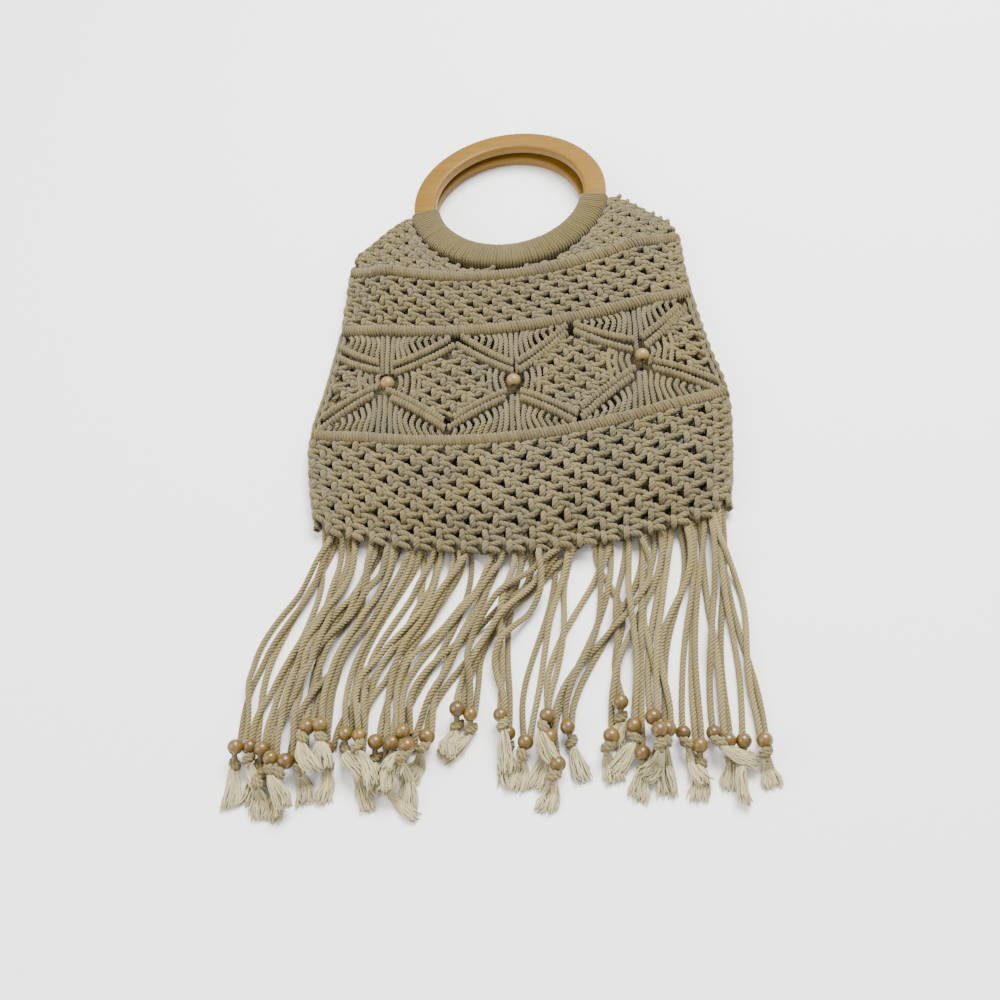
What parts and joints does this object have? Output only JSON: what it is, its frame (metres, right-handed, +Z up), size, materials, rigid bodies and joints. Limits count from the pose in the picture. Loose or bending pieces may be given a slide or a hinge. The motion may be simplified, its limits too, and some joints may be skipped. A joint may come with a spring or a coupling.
{
  "type": "macrame bag",
  "caption": "Macrame handbag lying on its back: round wooden ring handles, hollow knotted pouch with star ribs and wooden beads, and a long beaded fringe.",
  "frame": {"origin": "centre of the whole object's footprint on the surface that it lies on", "axes": "+Z up out of the pouch's front, +Y from the fringe towards the ring handles, +X to the right as seen from the front"},
  "size_m": [0.3332, 0.5654, 0.0363],
  "materials": {
    "handle_wood": "satin clear varnish on pale honey-coloured wood",
    "bead_wood": "satin varnish on small turned wooden beads",
    "wrap_cord": "twisted natural cotton cord, wrapped closely",
    "net_cord": "twisted natural cotton cord, knotted",
    "fringe_cord": "twisted natural cotton cord with unravelled ends"
  },
  "bodies": {
    "root": {"ring_front": "handle_wood", "ring_rear": "handle_wood", "wrap_front": "wrap_cord", "wrap_rear": "wrap_cord", "front_panel": "net_cord", "back_panel": "net_cord", "star_bead_left": "bead_wood", "star_bead_middle": "bead_wood", "star_bead_right": "bead_wood", "fringe": "fringe_cord"}
  },
  "joints": []
}
